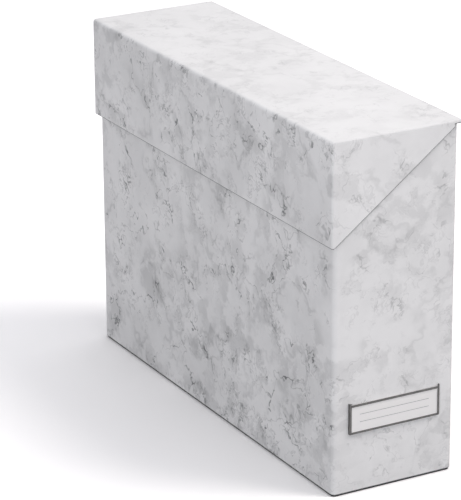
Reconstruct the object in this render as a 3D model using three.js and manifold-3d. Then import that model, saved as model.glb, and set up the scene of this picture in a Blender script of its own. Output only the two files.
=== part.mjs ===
// File box for hanging folders: a tall, narrow tray of greyboard covered in marble-print paper. Its lid has
// wedge-shaped ends and is hinged along the back rim. A pressed steel label holder sits on one end, and a steel
// rail inside each end carries the folders.
//
// Millimetres, +Z up. The origin is on the table, under the middle of the whole box. The label end faces -Y,
// the hinge runs along the top of the +X side, and the lid's deep front panel closes over the -X side.
import * as THREE from "three";
import { mergeVertices } from "three/addons/utils/BufferGeometryUtils.js";
import Module from "manifold-3d";

// Tray: one folded board, with its papers
const trayWidth = 100; // front face to hinge face
const trayLength = 356; // end to end
const trayHeight = 261; // underside to rim
const trayBoard = 2.4;
const trayFold = 3.5; // radius of the upright folds
const trayEdge = 1.2; // radius of the paper turned over the rim and under the foot

// Base board, dark, glued under the tray
const baseThickness = 0.9;
const baseInset = 1.2; // in from the tray's faces

// Lid: one folded board, with its papers
const lidBoard = 2.4;
const lidDepth = 77; // top face to the foot of the front panel
const lidFrontGap = 1.2; // front panel to tray
const lidEndGap = 0.7; // end panels to tray
const lidRimGap = 0.3; // hinge strip to rim, with the lid shut
const lidBackOverhang = 2.3; // past the hinge face, where it stops the open lid
const lidTailSetback = 4.4; // the end panels stop this far before the hinge face
const lidTailHeight = 2.2; // short upright edge at the end of the slope
const lidFold = 1.4; // radius of the top's long edges
const lidEdge = 0.8; // radius of the other edges

// Hinge strip: cloth-backed paper, glued in two leaves with a crease between
const stripThickness = 0.4;
const stripInset = 4; // in from each end of the tray
const stripWallLeaf = 24; // down the hinge face
const stripLidLeaf = 20; // in under the top panel
const stripCrease = 0.3; // left free along the rim, on each leaf
const stripClip = 5; // corners cut off the free edges

// Label holder: pressed steel pan with a window and an open top
const holderWidth = 75;
const holderHeight = 23.6; // to the tips of the sides
const holderFoot = 46; // above the table
const holderDepth = 2; // off the end face
const holderSheet = 0.5;
const holderRim = 1.7; // sides and foot, seen from the front
const holderTopBar = 1.7;
const holderEar = 1.1; // the sides stand above the top bar
const holderCorner = 0.8;
const holderEdge = 0.25;

// Prongs of the label holder, through slits in the end wall and folded flat inside
const prongWidth = 3;
const prongFold = 4;
const prongSpread = 13; // from the lower pair to the upper pair
const prongClearance = 0.3;

// Label card
const cardThickness = 0.3;
const cardClearance = 0.3; // to the sides of the holder
const cardSetback = 0.1; // behind the holder's front

// Folder rails: folded steel channels, open at the top
const railSheet = 1;
const railDepth = 10.6; // end wall to the middle of the lip, which leaves 330 between the lips
const railLip = 9; // web to lip
const railLeg = 15; // web to the top of the leg on the end wall
const railDrop = 11.5; // lip below the rim, room for the hooks
const railClearance = 0.6; // ends to the long walls
const railBend = 0.8;

// Rivets: two through each rail and end wall
const rivetShank = 1.6; // radius
const rivetHead = 3.4; // radius, let in flush with the outside
const rivetHeadThickness = 0.6;
const rivetTail = 2.6; // radius
const rivetTailThickness = 0.9;
const rivetSpread = 44;
const rivetBelowLeg = 4.5; // top of the leg to the middle of the rivet
const rivetClearance = 0.1;

// Facets
const foldFacets = 8; // round a quarter turn
const edgeFacets = 4; // round an edge
const roundFacets = 24; // round a rivet
const overcut = 5; // how far a cutter runs past what it cuts

// Levels above the table
const floorTop = baseThickness + trayBoard;
const rim = baseThickness + trayHeight;
const lidUnderside = rim + lidRimGap + stripThickness;
const lidTop = lidUnderside + lidBoard;
const railTop = rim - railDrop;
const railLegTop = railTop - railLip + railLeg;
const rivetLevel = railLegTop - rivetBelowLeg;

// Places across and along, from the middle of the tray
const hingeFace = trayWidth / 2;
const labelFace = -trayLength / 2;
const endWallInside = labelFace + trayBoard;
const insideWidth = trayWidth - 2 * trayBoard;
const insideLength = trayLength - 2 * trayBoard;
const lidBack = hingeFace + lidBackOverhang;
const lidInsideFront = -trayWidth / 2 - lidFrontGap;
const lidFront = lidInsideFront - lidBoard;
const lidInsideLength = trayLength + 2 * lidEndGap;
const lidLength = lidInsideLength + 2 * lidBoard;

const wasm = await Module();
wasm.setup();

// Solids and geometries

function solid(geometry) {
  const bare = geometry.clone();
  bare.deleteAttribute("normal");
  bare.deleteAttribute("uv");
  const merged = mergeVertices(bare, 1e-4);
  const vertProperties = new Float32Array(merged.attributes.position.array);
  const triVerts = new Uint32Array(merged.index.array);
  return new wasm.Manifold(new wasm.Mesh({ numProp: 3, vertProperties, triVerts }));
}

function geometryOf(body) {
  const { vertProperties, triVerts } = body.getMesh();
  const geometry = new THREE.BufferGeometry();
  geometry.setAttribute("position", new THREE.BufferAttribute(vertProperties, 3));
  geometry.setIndex(new THREE.BufferAttribute(triVerts, 1));
  geometry.computeVertexNormals();
  return geometry;
}

function cut(body, cutters) {
  return geometryOf(cutters.map(solid).reduce((rest, cutter) => rest.subtract(cutter), solid(body)));
}

function join(pieces) {
  return geometryOf(pieces.map(solid).reduce((whole, piece) => whole.add(piece)));
}

// The same geometry at the far end of the box.
function atFarEnd(geometry) {
  return geometry.clone().rotateZ(Math.PI);
}

// Outlines

// A closed outline through corners given as [across, up, radius].
function outline(corners) {
  const shape = new THREE.Shape();
  corners.forEach(([x, y, radius = 0], i) => {
    const corner = new THREE.Vector2(x, y);
    const previous = new THREE.Vector2(...corners.at(i - 1));
    const next = new THREE.Vector2(...corners[(i + 1) % corners.length]);
    const start = previous.sub(corner).setLength(radius).add(corner);
    const end = next.sub(corner).setLength(radius).add(corner);
    if (i === 0) {
      shape.moveTo(start.x, start.y);
    } else {
      shape.lineTo(start.x, start.y);
    }
    if (radius > 0) {
      shape.quadraticCurveTo(x, y, end.x, end.y);
    }
  });
  return shape;
}

// A rectangle centred across, that stands on a given level.
function rectangle(width, height, foot, radius = 0) {
  const side = width / 2;
  const top = foot + height;
  return outline([
    [-side, foot, radius],
    [side, foot, radius],
    [side, top, radius],
    [-side, top, radius],
  ]);
}

// The cut edge of a folded sheet whose middle line has square corners: straight legs and round bends.
function foldedSheet(corners, thickness, insideRadius) {
  const points = corners.map(([x, y]) => new THREE.Vector2(x, y));
  const heading = (i) => points[i + 1].clone().sub(points[i]).normalize();
  const middleRadius = insideRadius + thickness / 2;

  // One side of the sheet: +1 is on the left of the way along the line, -1 on its right.
  const side = (sign) =>
    points.flatMap((point, i) => {
      const along = i < points.length - 1 ? heading(i) : heading(i - 1);
      const left = new THREE.Vector2(-along.y, along.x);
      if (i === 0 || i === points.length - 1) {
        return [point.clone().addScaledVector(left, (sign * thickness) / 2)];
      }
      const before = heading(i - 1);
      const turn = Math.sign(before.cross(along));
      const centre = point.clone().sub(before.multiplyScalar(middleRadius));
      centre.addScaledVector(along, middleRadius);
      const radius = middleRadius - (turn * sign * thickness) / 2;
      const first = heading(i - 1);
      return Array.from({ length: foldFacets / 2 + 1 }, (_, k) => {
        const angle = (turn * k * Math.PI) / foldFacets;
        const outward = new THREE.Vector2(first.y, -first.x).multiplyScalar(turn * radius);
        return outward.rotateAround(new THREE.Vector2(), angle).add(centre);
      });
    });
  return new THREE.Shape([...side(1), ...side(-1).reverse()]);
}

// Slabs

// An outline made solid upwards from zero, with both its ends rounded off.
function slab(shape, thickness, edge = 0) {
  const geometry = new THREE.ExtrudeGeometry(shape, {
    depth: thickness - 2 * edge,
    curveSegments: foldFacets,
    bevelEnabled: edge > 0,
    bevelThickness: edge,
    bevelSize: edge,
    bevelOffset: -edge,
    bevelSegments: edgeFacets,
  });
  return geometry.translate(0, 0, edge);
}

// Stands a slab up to face the label end: its outline is seen from there, and it grows towards the viewer.
function facingLabelEnd(geometry) {
  return geometry.rotateX(Math.PI / 2);
}

// Stands a slab up with its outline along the box and upwards, and its thickness across.
function facingHingeSide(geometry) {
  return geometry.rotateX(Math.PI / 2).rotateZ(Math.PI / 2);
}

function box(width, length, height, x, y, z) {
  return new THREE.BoxGeometry(width, length, height).translate(x, y, z);
}

// A round rod along the box, from one place to another.
function rod(radius, fromY, toY, x, z) {
  const length = toY - fromY;
  return new THREE.CylinderGeometry(radius, radius, length, roundFacets).translate(x, fromY + length / 2, z);
}

// Tray and base

const rivetPlaces = [-rivetSpread / 2, rivetSpread / 2];
const prongSide = holderWidth / 2 - holderSheet / 2;
const prongMiddle = holderFoot + (holderHeight - holderEar) / 2;
const prongPlaces = [-1, 1].flatMap((side) =>
  [-1, 1].map((level) => ({ side, z: prongMiddle + (level * prongSpread) / 2 })),
);

// What the rivets need in the label end's wall: a hole through it, and a shallow seat for the head.
function rivetHoles() {
  return rivetPlaces.flatMap((x) => [
    rod(rivetShank + rivetClearance, labelFace - overcut, endWallInside + overcut, x, rivetLevel),
    rod(rivetHead + rivetClearance, labelFace - overcut, labelFace + rivetHeadThickness, x, rivetLevel),
  ]);
}

function prongSlits() {
  const width = holderSheet + 2 * prongClearance;
  const height = prongWidth + 2 * prongClearance;
  return prongPlaces.map(({ side, z }) => {
    return box(width, 2 * overcut + trayBoard, height, side * prongSide, labelFace + trayBoard / 2, z);
  });
}

function trayGeometry() {
  const plan = rectangle(trayWidth, trayLength, -trayLength / 2, trayFold);
  const insidePlan = rectangle(insideWidth, insideLength, -insideLength / 2);
  const block = slab(plan, trayHeight, trayEdge).translate(0, 0, baseThickness);
  const hollow = slab(insidePlan, trayHeight).translate(0, 0, floorTop);
  return cut(block, [hollow, ...rivetHoles(), ...rivetHoles().map(atFarEnd), ...prongSlits()]);
}

function baseGeometry() {
  const length = trayLength - 2 * baseInset;
  return slab(rectangle(trayWidth - 2 * baseInset, length, -length / 2, trayFold - baseInset), baseThickness);
}

// Lid

// The lid's end, seen from the label end: front panel on the left, then the slope up to the short tail.
function lidGeometry() {
  const foot = lidTop - lidDepth;
  const tail = hingeFace - lidTailSetback;
  const wedge = outline([
    [lidFront, foot, 0],
    [lidInsideFront, foot, 0],
    [tail, lidUnderside - lidTailHeight, 0],
    [tail, lidUnderside, 0],
    [lidBack, lidUnderside, 0],
    [lidBack, lidTop, lidFold],
    [lidFront, lidTop, lidFold],
  ]);
  const block = facingLabelEnd(slab(wedge, lidLength, lidEdge)).translate(0, lidLength / 2, 0);
  const hollowWidth = lidBack - lidInsideFront + overcut;
  const hollowHeight = lidUnderside - foot + overcut;
  const middleX = lidInsideFront + hollowWidth / 2;
  const middleZ = lidUnderside - hollowHeight / 2;
  return cut(block, [box(hollowWidth, lidInsideLength, hollowHeight, middleX, 0, middleZ)]);
}

// Hinge strip

// One leaf seen flat: its straight crease lies on zero, and the corners of its free edge are cut off.
function stripLeaf(reach) {
  const end = trayLength / 2 - stripInset;
  const free = -reach;
  return outline([
    [-end, -stripCrease],
    [-end, free + stripClip],
    [-end + stripClip, free],
    [end - stripClip, free],
    [end, free + stripClip],
    [end, -stripCrease],
  ]);
}

function wallLeafGeometry() {
  return facingHingeSide(slab(stripLeaf(stripWallLeaf), stripThickness)).translate(hingeFace, 0, rim);
}

function lidLeafGeometry() {
  const leaf = slab(stripLeaf(stripLidLeaf), stripThickness).rotateZ(-Math.PI / 2);
  return leaf.translate(hingeFace, 0, lidUnderside - stripThickness);
}

// Label holder and card

// The pan seen from the front. Its sides rise past the top bar, where the card goes in.
function holderOutline() {
  const side = holderWidth / 2;
  const inner = side - holderRim;
  const barTop = holderHeight - holderEar;
  return outline([
    [-side, 0, holderCorner],
    [side, 0, holderCorner],
    [side, holderHeight],
    [inner, holderHeight],
    [inner, barTop],
    [-inner, barTop],
    [-inner, holderHeight],
    [-side, holderHeight],
  ]);
}

function prongs() {
  const folded = endWallInside + holderSheet / 2;
  return prongPlaces.map(({ side, z }) => {
    const corners = [
      [side * prongSide, labelFace - holderDepth / 2],
      [side * prongSide, folded],
      [side * (prongSide - prongFold), folded],
    ];
    const profile = foldedSheet(corners, holderSheet, prongClearance);
    return slab(profile, prongWidth).translate(0, 0, z - prongWidth / 2);
  });
}

function holderGeometry() {
  const pan = slab(holderOutline(), holderDepth, holderEdge);
  const barTop = holderHeight - holderEar;
  const insideHeight = holderHeight - holderSheet + overcut;
  const inside = slab(rectangle(holderWidth - 2 * holderSheet, insideHeight, holderSheet), holderDepth);
  const windowHeight = barTop - holderTopBar - holderRim;
  const window = slab(rectangle(holderWidth - 2 * holderRim, windowHeight, holderRim, holderCorner), 2 * holderDepth);
  const pressed = cut(pan, [inside.translate(0, 0, -holderSheet), window]);
  return join([facingLabelEnd(pressed).translate(0, labelFace, holderFoot), ...prongs()]);
}

function cardGeometry() {
  const width = holderWidth - 2 * holderSheet - 2 * cardClearance;
  const height = holderHeight - holderEar - holderSheet;
  const back = holderDepth - holderSheet - cardSetback - cardThickness;
  const card = slab(rectangle(width, height, holderSheet), cardThickness).translate(0, 0, back);
  return facingLabelEnd(card).translate(0, labelFace, holderFoot);
}

// Rails and rivets

function railGeometry() {
  const leg = endWallInside + railSheet / 2;
  const web = railTop - railLip + railSheet / 2;
  const lip = endWallInside + railDepth;
  const corners = [
    [leg, railLegTop],
    [leg, web],
    [lip, web],
    [lip, railTop],
  ];
  const length = insideWidth - 2 * railClearance;
  const channel = facingHingeSide(slab(foldedSheet(corners, railSheet, railBend), length)).translate(-length / 2, 0, 0);
  const holes = rivetPlaces.map((x) => rod(rivetShank + rivetClearance, labelFace, leg + overcut, x, rivetLevel));
  return cut(channel, holes);
}

// A rivet turned about its own line, from the flush head outside to the set tail inside the rail.
function rivetGeometry(x) {
  const seat = rivetHeadThickness;
  const tailSeat = trayBoard + railSheet;
  const profile = [
    [0, 0],
    [rivetHead, 0],
    [rivetHead, seat],
    [rivetShank, seat],
    [rivetShank, tailSeat],
    [rivetTail, tailSeat],
    [rivetTail * 0.8, tailSeat + rivetTailThickness],
    [0, tailSeat + rivetTailThickness],
  ].map(([radius, y]) => new THREE.Vector2(radius, y));
  return new THREE.LatheGeometry(profile, roundFacets).translate(x, labelFace, rivetLevel);
}

// The box

const paper = { color: 0xd9d9db, roughness: 0.55, metalness: 0 };
const darkPaper = { color: 0x39393b, roughness: 0.8, metalness: 0 };
const stripCloth = { color: 0xcfcfd1, roughness: 0.75, metalness: 0 };
const nickel = { color: 0x75767a, roughness: 0.38, metalness: 1 };
const zincSteel = { color: 0xa9acb0, roughness: 0.42, metalness: 1 };
const whiteCard = { color: 0xe9e8e4, roughness: 0.7, metalness: 0 };

function piece(name, geometry, finish) {
  const mesh = new THREE.Mesh(geometry, new THREE.MeshStandardMaterial(finish));
  mesh.name = name;
  return mesh;
}

const fileBox = new THREE.Group();
fileBox.add(
  piece("tray", trayGeometry(), paper),
  piece("base_board", baseGeometry(), darkPaper),
  piece("lid", lidGeometry(), paper),
  piece("hinge_strip_wall_leaf", wallLeafGeometry(), stripCloth),
  piece("hinge_strip_lid_leaf", lidLeafGeometry(), stripCloth),
  piece("label_holder", holderGeometry(), nickel),
  piece("label_card", cardGeometry(), whiteCard),
);

const ends = [
  { name: "label_end", place: (geometry) => geometry },
  { name: "far_end", place: atFarEnd },
];
for (const { name, place } of ends) {
  fileBox.add(piece(`folder_rail_${name}`, place(railGeometry()), zincSteel));
  rivetPlaces.forEach((x, i) => {
    fileBox.add(piece(`rivet_${name}_${i + 1}`, place(rivetGeometry(x)), zincSteel));
  });
}

// The lid reaches further past the front than past the hinge, so the tray stands a little off the middle.
fileBox.position.x = -(lidFront + lidBack) / 2;

export default fileBox;
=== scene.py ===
# %% [markdown]
# # A marble-paper file box
#
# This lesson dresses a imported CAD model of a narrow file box: a tray of greyboard, a hinged lid with
# wedge-shaped ends, a steel label holder and two steel rails for hanging folders. The CAD model is the
# frame. It says where everything is and what moves, so nothing here is placed by eye. Lengths are metres,
# +Z is up, and the label end faces -Y.

# %% Load the frame
import math

import bmesh
import bpy
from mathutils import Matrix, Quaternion, Vector


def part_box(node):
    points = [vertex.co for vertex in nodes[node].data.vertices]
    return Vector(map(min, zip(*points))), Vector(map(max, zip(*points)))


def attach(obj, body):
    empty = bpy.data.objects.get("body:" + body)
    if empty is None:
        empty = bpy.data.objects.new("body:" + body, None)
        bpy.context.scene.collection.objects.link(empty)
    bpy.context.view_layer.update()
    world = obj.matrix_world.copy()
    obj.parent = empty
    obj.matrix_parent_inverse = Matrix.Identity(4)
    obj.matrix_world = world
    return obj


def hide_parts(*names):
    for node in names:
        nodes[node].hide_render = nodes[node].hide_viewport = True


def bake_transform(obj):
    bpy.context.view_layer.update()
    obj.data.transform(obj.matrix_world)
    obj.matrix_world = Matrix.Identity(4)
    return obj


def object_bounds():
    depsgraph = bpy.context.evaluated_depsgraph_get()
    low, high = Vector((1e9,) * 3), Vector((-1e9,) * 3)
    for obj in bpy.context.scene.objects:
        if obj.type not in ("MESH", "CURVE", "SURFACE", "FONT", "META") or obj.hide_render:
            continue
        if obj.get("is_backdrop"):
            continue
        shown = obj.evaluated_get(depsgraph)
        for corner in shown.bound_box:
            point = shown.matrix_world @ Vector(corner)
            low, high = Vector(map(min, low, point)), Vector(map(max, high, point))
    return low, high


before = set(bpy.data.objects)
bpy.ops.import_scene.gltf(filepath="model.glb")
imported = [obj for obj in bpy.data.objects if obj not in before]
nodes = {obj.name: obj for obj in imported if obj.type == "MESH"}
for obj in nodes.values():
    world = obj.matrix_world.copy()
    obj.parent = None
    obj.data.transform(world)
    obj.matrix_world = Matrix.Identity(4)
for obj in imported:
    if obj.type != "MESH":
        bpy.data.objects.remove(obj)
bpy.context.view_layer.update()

# %% [markdown]
# ## The camera
#
# The picture was taken with a long lens from the front left, about twenty degrees above the table. A long
# lens keeps the box's edges nearly parallel. The place and direction come from the box's own corners: with
# its sides known, only one camera sees them all where the picture shows them. The lens is worked out from
# the focal length in pixels, because Blender measures a lens against a sensor as wide as the picture's long
# side.

# %% Camera
SENSOR = 36.0
PICTURE_HEIGHT = 500
FOCAL_PIXELS = 2886.3

camera_data = bpy.data.cameras.new("camera")
camera_data.sensor_width = SENSOR
camera_data.lens = FOCAL_PIXELS * SENSOR / PICTURE_HEIGHT
camera_data.clip_start = 0.1
camera_data.clip_end = 20.0

camera_place = Vector((-1.0096, -1.7672, 0.8665))
camera_aim = Vector((0.4546, 0.8217, -0.3438))
camera_roll = math.radians(-0.37)
camera = bpy.data.objects.new("camera", camera_data)
camera.rotation_mode = "QUATERNION"
camera.location = camera_place
camera.rotation_quaternion = camera_aim.to_track_quat("-Z", "Y") @ Quaternion((0, 0, 1), camera_roll)
bpy.context.scene.collection.objects.link(camera)
bpy.context.scene.camera = camera
print("Lens, mm:", round(camera_data.lens, 1), " distance, m:", round(camera_place.length, 2))

# %% [markdown]
# ## Node trees in code
#
# A material is a small graph. A few helpers keep the code short enough to read. One links a socket to an
# input or sets a value there, one adds a node, one starts an empty material, and the rest stand for the
# nodes that come up most.


# %% Helpers for node trees
def feed(tree, socket, value):
    """Links a socket to an input, or sets a plain value on it."""
    if isinstance(value, bpy.types.NodeSocket):
        tree.links.new(value, socket)
    else:
        socket.default_value = value


def add(tree, kind, settings=None, **inputs):
    """Adds a node. Inputs are named in lower case with underscores, or i0, i1 and so on by place."""
    node = tree.nodes.new(kind)
    for name, value in (settings or {}).items():
        setattr(node, name, value)
    for name, value in inputs.items():
        if name[0] == "i" and name[1:].isdigit():
            socket = node.inputs[int(name[1:])]
        else:
            socket = next(s for s in node.inputs if s.name.lower().replace(" ", "_") == name and s.enabled)
        feed(tree, socket, value)
    return node


def math_node(tree, operation, a, b=0.0, c=0.0, clamp=False):
    """A sum on one, two or three numbers."""
    settings = {"operation": operation, "use_clamp": clamp}
    return add(tree, "ShaderNodeMath", settings, i0=a, i1=b, i2=c).outputs[0]


def ramp(tree, value, low, high, to_low=0.0, to_high=1.0, smooth=True):
    """Maps low..high to to_low..to_high, held at both ends."""
    kind = {"interpolation_type": "SMOOTHSTEP" if smooth else "LINEAR"}
    node = add(tree, "ShaderNodeMapRange", kind, value=value, from_min=low, from_max=high)
    feed(tree, node.inputs["To Min"], to_low)
    feed(tree, node.inputs["To Max"], to_high)
    return node.outputs["Result"]


def noise(tree, place, size, detail=3.0, roughness=0.5):
    """Noise whose features measure about size metres."""
    node = add(tree, "ShaderNodeTexNoise", vector=place, scale=1.0 / size, detail=detail, roughness=roughness)
    return node.outputs["Fac"]


def blend_colours(tree, amount, below, above):
    """The colour below where the amount is 0, and the one above where it is 1."""
    node = add(tree, "ShaderNodeMix", {"data_type": "RGBA"})
    feed(tree, node.inputs[0], amount)
    feed(tree, node.inputs[6], below)
    feed(tree, node.inputs[7], above)
    return node.outputs[2]


def grey(level, warmth=0.0):
    """A nearly neutral colour: warmth above zero leans to red, below zero to blue."""
    return (level * (1 + warmth), level, level * (1 - warmth), 1.0)


def new_material(name):
    """An empty material, its node tree and its shader."""
    material = bpy.data.materials.new(name)
    material.use_nodes = True
    tree = material.node_tree
    tree.nodes.clear()
    output = tree.nodes.new("ShaderNodeOutputMaterial")
    shader = tree.nodes.new("ShaderNodeBsdfPrincipled")
    tree.links.new(shader.outputs[0], output.inputs["Surface"])
    return material, tree, shader


def bump(tree, shader, height, strength, distance):
    """Gives a shader a fine relief, with heights up to a distance in metres."""
    node = add(tree, "ShaderNodeBump", height=height, strength=strength, distance=distance)
    tree.links.new(node.outputs["Normal"], shader.inputs["Normal"])


# %% [markdown]
# ## Marble-print paper
#
# The covering paper is printed with a soft, clouded marble. Seen close, the print has layers: broad pale
# clouds, darker patches with ragged edges and grainy outlines, soft wide veins, thin veins that curl and
# break off, each with a pale halo, and dark flecks on the thin veins. All of them come from noise in object
# space, so the print runs round the folds as paper does. Where a noise crosses its middle value, its
# contour is a thin, curling line, which makes the veins. A wider band round the same contour makes the
# halo.

# %% Layers of print
CLOUD_SIZE, CLOUD_INK = 0.06, 0.15
PATCH_SIZE, PATCH_INK = 0.022, 0.18
OUTLINE_INK = 0.18
SOFT_VEIN_SIZE, SOFT_VEIN_INK = 0.055, 0.17
VEIN_SIZE, WISP_SIZE, LINE_INK = 0.07, 0.024, 0.26
GRAIN_SIZE, GRAIN_INK = 0.0035, 0.1
HALO_INK = -0.07  # paler than the ground
FLECK_INK = 0.37


def contour(tree, value, width, level=0.5):
    """1 on the line where a noise crosses a level, falling to 0 at the given width."""
    distance = math_node(tree, "ABSOLUTE", math_node(tree, "SUBTRACT", value, level))
    return ramp(tree, distance, 0.0, width, 1.0, 0.0)


def warped(tree, place, size, reach):
    """A place pushed about by noise, which makes lines curl and edges ragged."""
    push = add(tree, "ShaderNodeTexNoise", vector=place, scale=1 / size, detail=3.0, roughness=0.6)
    colour, middle = push.outputs["Color"], (0.5, 0.5, 0.5)
    centred = add(tree, "ShaderNodeVectorMath", {"operation": "SUBTRACT"}, i0=colour, i1=middle).outputs[0]
    scaled = add(tree, "ShaderNodeVectorMath", {"operation": "SCALE"}, i0=centred)
    scaled.inputs["Scale"].default_value = reach
    return add(tree, "ShaderNodeVectorMath", {"operation": "ADD"}, i0=place, i1=scaled.outputs[0]).outputs[0]


def layer(tree, below, amount, mask):
    """Adds one layer of print, where its mask lets it show."""
    return math_node(tree, "MULTIPLY_ADD", mask, amount, below)


def both(tree, a, b):
    """1 where both masks are 1, or a mask scaled by an amount."""
    return math_node(tree, "MULTIPLY", a, b)


def marble_print(tree, place):
    """The print's darkness in two parts, soft and sharp: 0 is bare paper and 1 is solid ink."""
    curled = warped(tree, place, 0.03, 0.04)
    ragged = warped(tree, place, 0.01, 0.014)

    clouds = ramp(tree, noise(tree, ragged, CLOUD_SIZE, 4.0, 0.6), 0.3, 0.7)
    patch_noise = noise(tree, ragged, PATCH_SIZE, 4.0, 0.6)
    patches = ramp(tree, patch_noise, 0.47, 0.6)
    patch_places = ramp(tree, noise(tree, place, 0.05, 2.0), 0.38, 0.56)
    outlines = contour(tree, patch_noise, 0.02, 0.53)
    outline_places = ramp(tree, noise(tree, place, 0.02, 2.0), 0.5, 0.62)

    vein_noise = noise(tree, curled, VEIN_SIZE, 4.0, 0.58)
    vein_places = ramp(tree, noise(tree, place, 0.04, 2.0), 0.45, 0.58)
    wisp_noise = noise(tree, curled, WISP_SIZE, 4.0, 0.6)
    wisp_places = ramp(tree, noise(tree, ragged, 0.035, 2.0), 0.48, 0.6)
    fleck_places = ramp(tree, noise(tree, place, 0.011, 2.0), 0.5, 0.62)

    lines = math_node(
        tree,
        "MAXIMUM",
        both(tree, contour(tree, vein_noise, 0.009), vein_places),
        both(tree, contour(tree, wisp_noise, 0.028), wisp_places),
    )
    halos = both(tree, contour(tree, wisp_noise, 0.08), wisp_places)
    soft_noise = noise(tree, warped(tree, place, 0.02, 0.02), SOFT_VEIN_SIZE, 3.0, 0.5)
    soft_places = ramp(tree, noise(tree, place, 0.03, 2.0), 0.42, 0.6)
    soft_veins = both(tree, contour(tree, soft_noise, 0.032), soft_places)
    grain = ramp(tree, noise(tree, ragged, GRAIN_SIZE, 2.0), 0.5, 0.65)

    soft = both(tree, clouds, CLOUD_INK)
    soft = layer(tree, soft, PATCH_INK, both(tree, patches, patch_places))
    soft = layer(tree, soft, OUTLINE_INK, both(tree, outlines, outline_places))
    soft = layer(tree, soft, SOFT_VEIN_INK, soft_veins)

    sharp = both(tree, both(tree, grain, outline_places), GRAIN_INK)
    sharp = layer(tree, sharp, HALO_INK, halos)
    sharp = layer(tree, sharp, LINE_INK, lines)
    sharp = layer(tree, sharp, FLECK_INK, both(tree, lines, fleck_places))
    return soft, sharp


# %% [markdown]
# The print isn't equally strong on every face of the box, and two kinds of rounding carry painted shade: the
# lower roundings of cut edges and the short folds over the ends. Which way a face looks tells all of that: the
# masks below are made from its normal, so they follow the folds and the roundings by themselves.

# %% Strength of the print, and painted shade
END_PRINT = 0.75
TOP_MORE = -0.25  # added to the ends' strength
SIDE_MORE = 0.4


def facing(tree):
    """The x, y and z of the direction that a face looks in."""
    normal = add(tree, "ShaderNodeTexCoord").outputs["Normal"]
    return add(tree, "ShaderNodeSeparateXYZ", i0=normal).outputs


def sheet_strength(tree):
    """The print is strongest on the long sides, weaker on the ends and weakest on the top."""
    x, y, z = facing(tree)
    long_side = ramp(tree, math_node(tree, "ABSOLUTE", x), 0.4, 0.9)
    top = ramp(tree, z, 0.4, 0.9)
    quiet = math_node(tree, "MULTIPLY_ADD", top, TOP_MORE, END_PRINT)
    return math_node(tree, "MULTIPLY_ADD", long_side, SIDE_MORE, quiet)


def painted_edge_shade(tree):
    """1 on the lower rounding of a cut edge, which gets painted shade, or else 0."""
    down = math_node(tree, "MULTIPLY", facing(tree)[2], -1.0)
    return both(tree, ramp(tree, down, 0.03, 0.22), ramp(tree, down, 0.62, 0.78, 1.0, 0.0))


def painted_fold_shade(tree):
    """1 on the short folds over the ends, which get painted shade that tones down the light they catch, and 0 on
    the flat panels.
    """
    x, y, z = facing(tree)
    return ramp(tree, both(tree, math_node(tree, "ABSOLUTE", y), z), 0.05, 0.35)


# %% Marble paper
PAPER_WHITE = 0.87
PAPER_INK = 0.16
# How dark the painted shade is on the lower roundings of cut edges, under the lid's edges and round the tray's
# foot.
EDGE_SHADE = 1.0
# How much painted shade dims the short folds over the ends, where the key lamp would light a bright line.
FOLD_SHADE = 0.2
TRAY_CUT = (0.12, 0.4, 0.07)  # where on the print the tray's paper was cut
LID_CUT = (0.31, 0.17, 0.43)


def marble_paper(name, offset):
    """Each cut of paper has its own offset, so the print doesn't run on from one piece to the next."""
    material, tree, shader = new_material(name)
    coordinates = add(tree, "ShaderNodeTexCoord").outputs["Object"]
    place = add(tree, "ShaderNodeMapping", vector=coordinates, location=offset).outputs[0]
    soft, sharp = marble_print(tree, place)
    strength = sheet_strength(tree)
    printed = both(tree, math_node(tree, "MULTIPLY_ADD", sharp, strength, soft), strength)
    # Painted shade on the short folds over the ends, added to the print's darkness.
    fold_shaded = math_node(tree, "MULTIPLY_ADD", painted_fold_shade(tree), FOLD_SHADE, printed)
    # Painted shade on the lower roundings of cut edges, added to the print's darkness.
    darkness = math_node(tree, "MULTIPLY_ADD", painted_edge_shade(tree), EDGE_SHADE, fold_shaded, clamp=True)
    colour = blend_colours(tree, darkness, grey(PAPER_WHITE), grey(PAPER_INK, -0.03))
    feed(tree, shader.inputs["Base Color"], colour)
    fibres = noise(tree, coordinates, 0.0009, 2.0)
    shader.inputs["Roughness"].default_value = 0.5
    shader.inputs["Specular IOR Level"].default_value = 0.35
    bump(tree, shader, fibres, 0.08, 0.0002)
    return material


tray_paper = marble_paper("tray marble paper", TRAY_CUT)
lid_paper = marble_paper("lid marble paper", LID_CUT)
print("Paper:", tray_paper.name, "and", lid_paper.name)

# %% [markdown]
# ## The plainer finishes
#
# Five more finishes dress what the marble paper doesn't cover. Each one shows what its maker would look at:
# the fibres and faint mottle of lining paper, the flecks of dark recycled board, the two thread directions
# of book cloth, the dull flow of dark nickel over pressed steel, and the crystals that zinc leaves on sheet
# steel. A thread or a crystal is too small to model, so it stays in the material's colour, roughness and
# bump.


# %% Lining paper and dark board
def lining_paper():
    """Uncoated paper: a faint mottle and short fibres."""
    material, tree, shader = new_material("lining paper")
    place = add(tree, "ShaderNodeTexCoord").outputs["Object"]
    mottle = noise(tree, place, 0.012, 4.0, 0.6)
    fibres = noise(tree, place, 0.0008, 3.0, 0.7)
    amount = math_node(tree, "MULTIPLY_ADD", mottle, 0.5, both(tree, fibres, 0.5))
    colour = blend_colours(tree, ramp(tree, amount, 0.3, 0.7), grey(0.66, 0.01), grey(0.76, 0.01))
    feed(tree, shader.inputs["Base Color"], colour)
    shader.inputs["Roughness"].default_value = 0.8
    bump(tree, shader, fibres, 0.2, 0.0002)
    return material


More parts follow.
